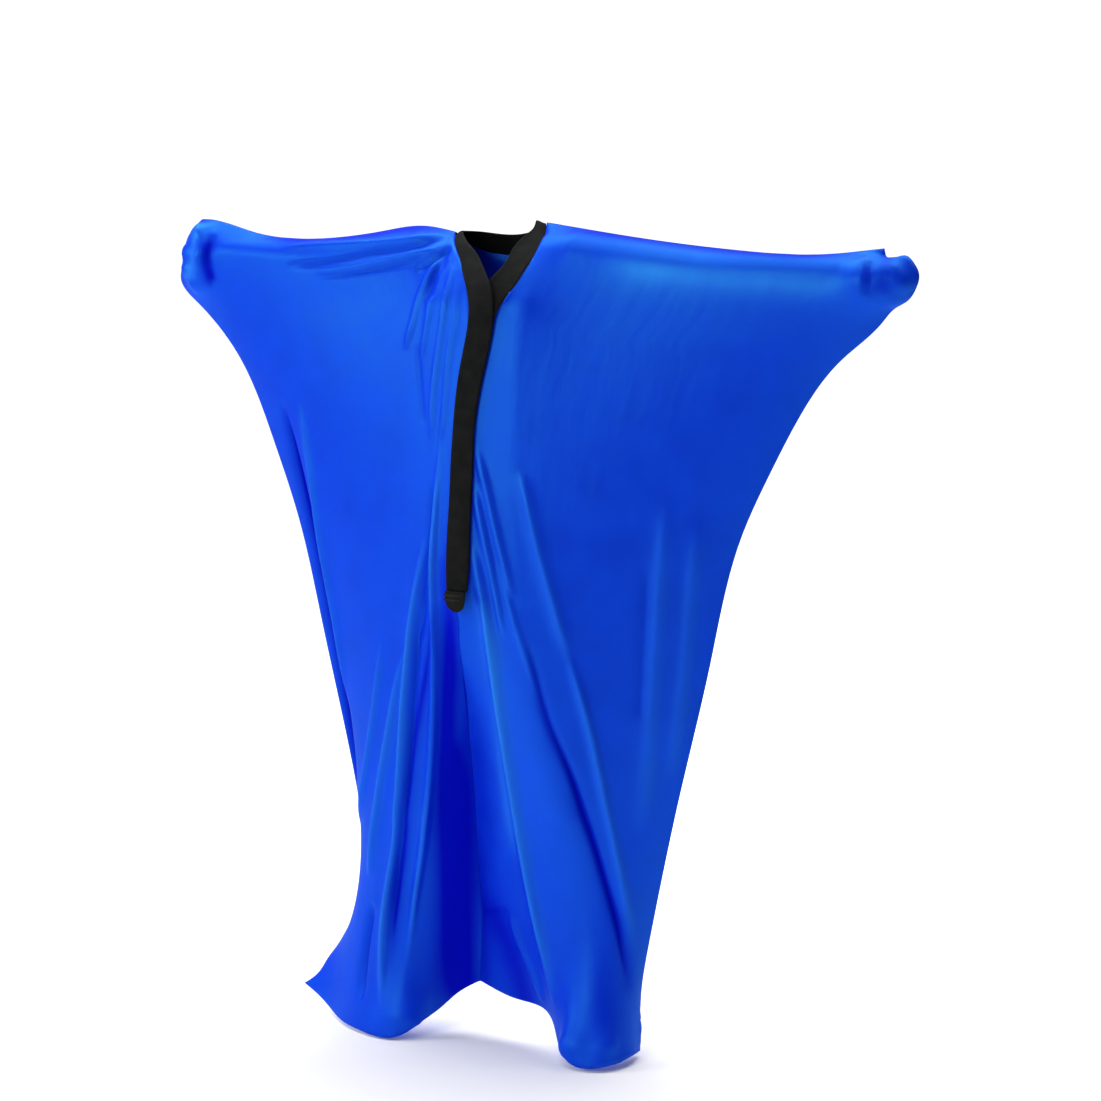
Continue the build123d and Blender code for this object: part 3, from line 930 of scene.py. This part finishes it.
def blue_material():
    """Royal-blue stretch knit with a satin sheen, paler where it is pulled thin, with painted highlight
    and painted shade mixed in.
    """
    material, nodes, links = new_material("blue_stretch_cloth")
    shader = nodes["Principled BSDF"]
    for socket, value in (
        ("Specular IOR Level", 0.02), ("Roughness", 0.6), ("Sheen Weight", 0.08),
        ("Sheen Roughness", 0.4), ("Sheen Tint", SATIN),
    ):
        shader.inputs[socket].default_value = value
    satin = nodes.new("ShaderNodeBsdfPrincipled")
    satin.inputs["Base Color"].default_value = SATIN
    satin.inputs["Metallic"].default_value = 1.0
    mixed = nodes.new("ShaderNodeMixShader")
    links.new(shader.outputs["BSDF"], mixed.inputs[1])
    links.new(satin.outputs["BSDF"], mixed.inputs[2])
    links.new(mixed.outputs["Shader"], nodes["Material Output"].inputs["Surface"])
    uv = add_node(nodes, "ShaderNodeUVMap", {"uv_map": "cloth"}).outputs["UV"]
    place = nodes.new("ShaderNodeTexCoord").outputs["Object"]
    patches = noise(nodes, links, place, 22.0, 4.0)
    dyed = ramp(nodes, links, patches, [(0.3, DARKER_DYE), (0.7, LIGHTER_DYE)])
    taut = add_node(nodes, "ShaderNodeAttribute", {"attribute_name": "taut"}).outputs["Fac"]
    painted_light = add_node(nodes, "ShaderNodeAttribute", {"attribute_name": "painted_light"}).outputs["Fac"]
    thin = blended_colour(nodes, links, remapped(nodes, links, taut, 0, 1, 0, 0.25), dyed, THIN)
    # Painted highlight is mixed in where the painted light is positive, and painted shade where it is
    # negative.
    with_painted_highlight = blended_colour(nodes, links, remapped(nodes, links, painted_light, 0, 1, 0, 0.75), thin, PAINTED_HIGHLIGHT)
    with_painted_shade = blended_colour(nodes, links, remapped(nodes, links, painted_light, 0, -1, 0, 0.92), with_painted_highlight, PAINTED_SHADE)
    links.new(with_painted_shade, shader.inputs["Base Color"])
    # The painted light also sets the satin lobe's share: more shine on painted highlights, less in painted
    # shade.
    links.new(remapped(nodes, links, painted_light, -1, 1, 0.0, 2 * SATIN_SHARE), mixed.inputs["Fac"])
    # Knit: fine ribs along the cloth, crossed by rows of stitches.
    ribs = waves(nodes, links, scaled(nodes, links, uv, (420, 420, 1)), "X", 0.3)
    rows = waves(nodes, links, scaled(nodes, links, uv, (560, 560, 1)), "Y", 0.3)
    knit = add_node(nodes, "ShaderNodeMath", {"operation": "MULTIPLY"})
    links.new(ribs, knit.inputs[0])
    links.new(rows, knit.inputs[1])
    wrinkles = noise(nodes, links, scaled(nodes, links, uv, (70, 14, 1)), 1.0, 3.0)
    fuzz = noise(nodes, links, place, 1400.0, 2.0)
    layers = [(wrinkles, 0.3, 0.0016), (knit.outputs[0], 0.35, 0.00012), (fuzz, 0.3, 0.0001)]
    for lobe in (shader, satin):
        bumped(nodes, links, lobe, layers)
    rough = remapped(nodes, links, patches, 0.3, 0.7, 0.34, 0.44)
    links.new(rough, satin.inputs["Roughness"])
    return material


def woven_material(name, dark, light, ribs_per_metre, across_per_metre, roughness, depth):
    """A woven or knitted narrow fabric, with ribs along and across it."""
    material, nodes, links = new_material(name)
    shader = nodes["Principled BSDF"]
    shader.inputs["Roughness"].default_value = roughness
    shader.inputs["Specular IOR Level"].default_value = 0.08
    shader.inputs["Sheen Weight"].default_value = 0.01
    place = nodes.new("ShaderNodeTexCoord").outputs["Object"]
    weave = scaled(nodes, links, place, (across_per_metre, across_per_metre, ribs_per_metre))
    ribs = waves(nodes, links, weave, "Z", 1.5)
    specks = noise(nodes, links, place, 900.0, 3.0)
    worn = noise(nodes, links, place, 70.0, 4.0)
    links.new(ramp(nodes, links, worn, [(0.3, dark), (0.72, light)]), shader.inputs["Base Color"])
    bumped(nodes, links, shader, [(ribs, 0.6, depth), (specks, 0.5, depth)])
    return material


blue = blue_material()
black, olive, thread, hook_plastic, loop_pile, overlock, label_cloth = [
    woven_material(*row) for row in (
        ("black_binding", (0.004, 0.0045, 0.0045), (0.0085, 0.009, 0.0085), 260, 160, 0.82, 0.00025),
        ("black_binding_end", (0.005, 0.006, 0.004), (0.012, 0.013, 0.009), 260, 160, 0.8, 0.0003),
        ("black_thread", (0.01, 0.01, 0.01), (0.022, 0.022, 0.022), 900, 900, 0.6, 0.0001),
        ("hook_tape", (0.01, 0.01, 0.01), (0.024, 0.024, 0.024), 500, 500, 0.45, 0.00015),
        ("loop_tape", (0.012, 0.012, 0.012), (0.03, 0.03, 0.03), 700, 700, 0.95, 0.0004),
        ("blue_overlock_seam", (0.0, 0.02, 0.42), (0.002, 0.06, 0.7), 420, 300, 0.7, 0.0005),
        ("white_label", (0.68, 0.68, 0.66), (0.82, 0.82, 0.8), 1200, 900, 0.75, 0.0001),
    )
]

# ---- the cloth pieces
right_piece = sheet_object("front_right_cloth", front_right, FRONT, painted_light_on_right, blue)
left_piece = sheet_object("front_left_cloth", front_left, FRONT, painted_light_on_left, blue)
back_piece = sheet_object("back_cloth", back, BEHIND, painted_light_on_back, blue)
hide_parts("front_panel_right")
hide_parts("front_panel_left")
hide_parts("back_panel")
for piece in (right_piece, left_piece, back_piece):
    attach(piece, "bag")

# ---- the bands
BAND_THICKNESS = 1.6
BAND_ROWS = 180
OVER_MIDDLE = -0.8  # the middle of the overlap's thickness, in the placket's axes
UNDER_MIDDLE = -4.7


def edge_at(edge, up):
    """How far across a placket edge is at a height."""
    ups = [-y for x, y in edge]
    return float(np.interp(-up, ups, [x for x, y in edge]))


UNDER_INSET = 1.2  # how much further in each of the underlap's edges is
BAND_HEIGHTS = [272, 240, 206, 175, 145, 115, 85, 55, 25, 0]
over_stations = [
    ((-53, 8, 22), (-45, 6, 27)),
    ((-45, -12, 10), (-28, -15, 14)),
    ((-29, -32, -10), (-12, -27, 3)),
    ((-13, -50, -33), (8, -46, -17)),
    ((-5.5, -58, -50), (22, -59, -37)),
]
for height in BAND_HEIGHTS:
    over_stations.append((
        on_placket(edge_at(SEWN_EDGE, height), height, OVER_MIDDLE),
        on_placket(edge_at(FREE_EDGE, height), height, OVER_MIDDLE),
    ))
under_stations = [
    ((53, 12, 33), (39, 16, 37)),
    ((58, 2, 17), (40, 6, 28)),
    ((60, -10, 6), (37, -3, 22)),
    ((54, -28, -9), (29, -16, 9)),
    ((44, -46, -34), (24, -34, -12)),
    ((32, -58, -56), (14, -50, -30)),
]
for height in [270] + BAND_HEIGHTS[1:-1] + [2]:
    under_stations.append((
        on_placket(edge_at(FREE_EDGE, height) - UNDER_INSET, height, UNDER_MIDDLE),
        on_placket(edge_at(SEWN_EDGE, height) + UNDER_INSET, height, UNDER_MIDDLE),
    ))
back_stations = [
    ((-54, 9, 22), (-45, 7, 27)),
    ((-40, 41, 8), (-33, 34, 27)),
    ((0, 59, 0), (-2, 48, 24)),
    ((41, 45, 11), (30, 40, 30)),
    ((53, 12, 31), (39, 17, 37)),
]
over_band = Band(over_stations, BAND_ROWS, 1)
under_band = Band(under_stations, BAND_ROWS, -1)
back_band = Band(back_stations, 60, -1)

over_piece = over_band.made("overlap_band", BAND_THICKNESS, 0.7, black)
under_piece = under_band.made("underlap_band", BAND_THICKNESS, -0.3, black)
collar_piece = back_band.made("back_collar_band", BAND_THICKNESS, 0.6, black)
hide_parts("collar_right", "overlap_placket")
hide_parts("collar_left", "underlap_placket")
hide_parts("collar_back")


def bends(piece):
    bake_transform(piece)


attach(collar_piece, "bag")

STITCH_LINE = BAND_THICKNESS / 2 + 0.12  # off the band's middle, just above its face
for body, band in (("overlap", over_band), ("underlap", under_band)):
    for edge, share in (("sewn", 0.09), ("free", 0.91)):
        row = stitches(f"{body}_stitches_{edge}", band.line(share, STITCH_LINE), band.normal, thread)
        bends(row)
row = stitches("back_collar_stitches", back_band.line(0.1, STITCH_LINE), back_band.normal, thread)
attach(row, "bag")
bends(over_piece)
bends(under_piece)

# The band's loose end hangs below the placket as a small rounded tab, lying on the cloth.
tail_stations = []
for left, right, height, forward in (
    (4, 28.6, 0, 2.2), (4.2, 28.4, -7, 2.2), (5.6, 27.6, -13, 1.2), (8.6, 25.2, -18, -0.8),
    (13, 20.6, -21, -2.4),
):
    tail_stations.append((on_placket(left, height, forward), on_placket(right, height, forward)))
tail_band = Band(tail_stations, 36, 1)
tail_piece = tail_band.made("placket_tail_tab", 3.0, 0.3, olive)
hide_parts("placket_tail")
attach(tail_piece, "bag")

# ---- hook and loop tape
PATCH_SIZE = (16.0, 34.0)
PATCH_MARGIN = 0.8
PATCH_HEIGHTS = (36.3, 108.9, 181.5, 254.1)
PATCH_MIDDLES = [((edge_at(SEWN_EDGE, up) + edge_at(FREE_EDGE, up)) / 2, up) for up in PATCH_HEIGHTS]
PATCH_BASE = 0.45  # the backing tape's thickness
PATCH_STEPS = 4
# Where the tapes lie and their hooks and loops start, forward in the placket's axes.
HOOK_TAPE, HOOK_ROOTS, LOOP_TAPE, LOOP_ROOTS = -1.85, -2.0, -3.65, -3.5
HOOKS_EACH, LOOPS_EACH = (9, 20), (14, 30)  # how many across and up each patch
LOOP_JITTER = 0.5


def patch_frames(counts, forward, flip, jitter, random):
    """Places spread over the four patches, each with the patch's axes."""
    frames = []
    for middle, height in PATCH_MIDDLES:
        for i in range(counts[0]):
            for j in range(counts[1]):
                x = ((i + 0.5) / counts[0] - 0.5) * (PATCH_SIZE[0] - 2 * PATCH_MARGIN)
                y = ((j + 0.5) / counts[1] - 0.5) * (PATCH_SIZE[1] - 2 * PATCH_MARGIN)
                x += random.uniform(-jitter, jitter)
                y += random.uniform(-jitter, jitter)
                turn = random.uniform(-math.pi, math.pi) if jitter else 0
                across = placket_across * math.cos(turn) + placket_up * math.sin(turn)
                face = placket_forward * flip
                axes = (across, np.cross(face, across), face)
                frames.append((np.array(on_placket(middle + x, height + y, forward)), axes))
    return frames


def patch_bases(name, forward, material):
    """The four backing tapes as thin rounded strips, joined into one object."""
    parts = []
    for middle, height in PATCH_MIDDLES:
        stations = []
        for step in range(PATCH_STEPS + 1):
            up = height + (step / PATCH_STEPS - 0.5) * PATCH_SIZE[1]
            stations.append((
                on_placket(middle - PATCH_SIZE[0] / 2, up, forward),
                on_placket(middle + PATCH_SIZE[0] / 2, up, forward),
            ))
        parts.append(Band(stations, 12, 1).made(name, PATCH_BASE, 0, material))
    return joined_object(name, parts)


def joined_object(name, parts):
    """One object from several that share a material."""
    shape = bmesh.new()
    for part in parts:
        shape.from_mesh(part.data)
    mesh = bpy.data.meshes.new(name)
    shape.to_mesh(mesh)
    shape.free()
    mesh.materials.append(parts[0].data.materials[0])
    for part in parts:
        bpy.data.objects.remove(part, do_unlink=True)
    made = bpy.data.objects.new(name, mesh)
    scene.collection.objects.link(made)
    return made


random = np.random.default_rng(7)
hook_shape = small_tube(
    [(0, 0, 0), (0, 0, 0.35), (0.05, 0, 0.58), (0.22, 0, 0.62), (0.3, 0, 0.46)],
    [0.13, 0.11, 0.1, 0.09, 0.05],
)
loop_shape = small_tube(
    [(-0.45, 0, 0), (-0.4, 0, 0.32), (0, 0.1, 0.5), (0.4, 0, 0.32), (0.45, 0, 0)],
    [0.09, 0.09, 0.09, 0.09, 0.09],
)
hook_base = patch_bases("hook_tape_backing", HOOK_TAPE, hook_plastic)
loop_base = patch_bases("loop_tape_backing", LOOP_TAPE, loop_pile)
hook_frames = patch_frames(HOOKS_EACH, HOOK_ROOTS, -1, 0.0, random)
loop_frames = patch_frames(LOOPS_EACH, LOOP_ROOTS, 1, LOOP_JITTER, random)
hooks = copies("hook_tape_hooks", hook_shape, hook_frames, hook_plastic)
loops = copies("loop_tape_pile", loop_shape, loop_frames, loop_pile)
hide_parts("hook_patches")
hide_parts("loop_patches")
for piece, body, finish in (
    (hook_base, "overlap", "hook_tape"), (hooks, "overlap", "hook_tape"),
    (loop_base, "underlap", "loop_tape"), (loops, "underlap", "loop_tape"),
):
    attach(piece, body)

# ---- seams
SEAM_START, SEAM_END = 0.9, 6.5  # the overlocked allowance, from the seam line inward
SEAM_THICKNESS = 0.9
SEAM_POINTS = 120
SEAM_STATIONS = 60
DOWNWARD = (0, 0, -1)
MIDDLE_SEAM_ROW = ROWS // 2  # where the centre seam starts, below the slit


def seam_band(name, edge, inner, other, replaced):
    """The overlocked allowance inside a seam. inner and other are lines a little
    further into the two layers of cloth that the seam joins."""
    edge, inner, other = [respaced(line, SEAM_POINTS) for line in (edge, inner, other)]
    inward = unit(unit(inner - edge) + unit(other - edge))
    near = respaced(edge + inward * SEAM_START, SEAM_POINTS)
    far = respaced(edge + inward * SEAM_END, SEAM_POINTS)
    stations = list(zip(near, far))[:: SEAM_POINTS // SEAM_STATIONS]
    made = Band(stations, SEAM_POINTS, 1).made(name, SEAM_THICKNESS, 0, overlock)
    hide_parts(replaced)
    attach(made, "bag")


arm_right, arm_left = front_right[0], front_left[0]
middle_seam = front_left[MIDDLE_SEAM_ROW:, 0]
for name, edge, inner, other, replaced in (
    ("arm_seam_allowance_right", arm_right, front_right[3], arm_right + DOWNWARD, "shoulder_seam_right"),
    ("arm_seam_allowance_left", arm_left, front_left[3], arm_left + DOWNWARD, "shoulder_seam_left"),
    ("side_seam_allowance_right", front_right[:, -1], front_right[:, -4], back[:, 3], "side_seam_right"),
    ("side_seam_allowance_left", front_left[:, -1], front_left[:, -4], back[:, -4], "side_seam_left"),
    ("hem_seam_allowance_right", front_right[-1], front_right[-4], front_right[-4], "bottom_seam_right"),
    ("hem_seam_allowance_left", front_left[-1], front_left[-4], front_left[-4], "bottom_seam_left"),
    ("front_seam_allowance", middle_seam, middle_seam + BEHIND, middle_seam + BEHIND, "centre_front_seam"),
):
    seam_band(name, edge, inner, other, replaced)

# ---- the CAD nodes that are carried
for name, material in (("bar_tacks", thread), ("care_label", label_cloth)):
    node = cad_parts[name]
    node.data.materials.clear()
    node.data.materials.append(material)



# ---- floor and lights
def from_camera(right, up, towards):
    """A place beside the object, in metres as the camera sees it."""
    return (
        right * math.cos(TURN) + towards * math.sin(TURN),
        right * math.sin(TURN) - towards * math.cos(TURN),
        up,
    )


FLOOR_Z = -0.8645
FLOOR_HALF_WIDTH = 14
floor_material, floor_nodes, _ = new_material("floor_paper")
paper = floor_nodes["Principled BSDF"]
paper.inputs["Base Color"].default_value = (0.93, 0.93, 0.93, 1)
paper.inputs["Roughness"].default_value = 0.95
SWEEP = [(-14, 0), (5, 0), (6.6, 0.25), (7.6, 1.0), (8, 2.4), (8, 12)]  # distance back and height
sweep_points = [
    from_camera(side, FLOOR_Z + height, -back_by)
    for back_by, height in SWEEP for side in (-FLOOR_HALF_WIDTH, FLOOR_HALF_WIDTH)
]
floor = mesh_object("floor", np.array(sweep_points) / MM, grid_faces(len(SWEEP), 2), floor_material)

world = bpy.data.worlds.new("studio")
scene.world = world
world.use_nodes = True
sky = world.node_tree.nodes["Background"]
sky.inputs["Color"].default_value = (1, 1, 1, 1)
sky.inputs["Strength"].default_value = 0.16


def area_light(name, location, aim, size, power):
    """A square soft light at location, pointed at aim."""
    data = bpy.data.lights.new(name, "AREA")
    data.energy = power
    data.size = size
    light = bpy.data.objects.new(name, data)
    scene.collection.objects.link(light)
    light.location = location
    light.rotation_euler = (Vector(aim) - Vector(location)).to_track_quat("-Z", "Y").to_euler()


area_light("key", from_camera(-2.8, 0.5, 0.35), (0, 0, -0.4), 0.7, 20)
area_light("fill", from_camera(-1.7, 0.6, 2.3), (0, 0, -0.4), 1.2, 29)
area_light("top", from_camera(-0.3, 2.2, 0.9), (0, 0, -0.3), 0.8, 12)
area_light("backdrop", from_camera(0, 3.5, -2.0), from_camera(0, -0.9, -5.0), 5.0, 460)

scene.view_settings.view_transform = "Standard"
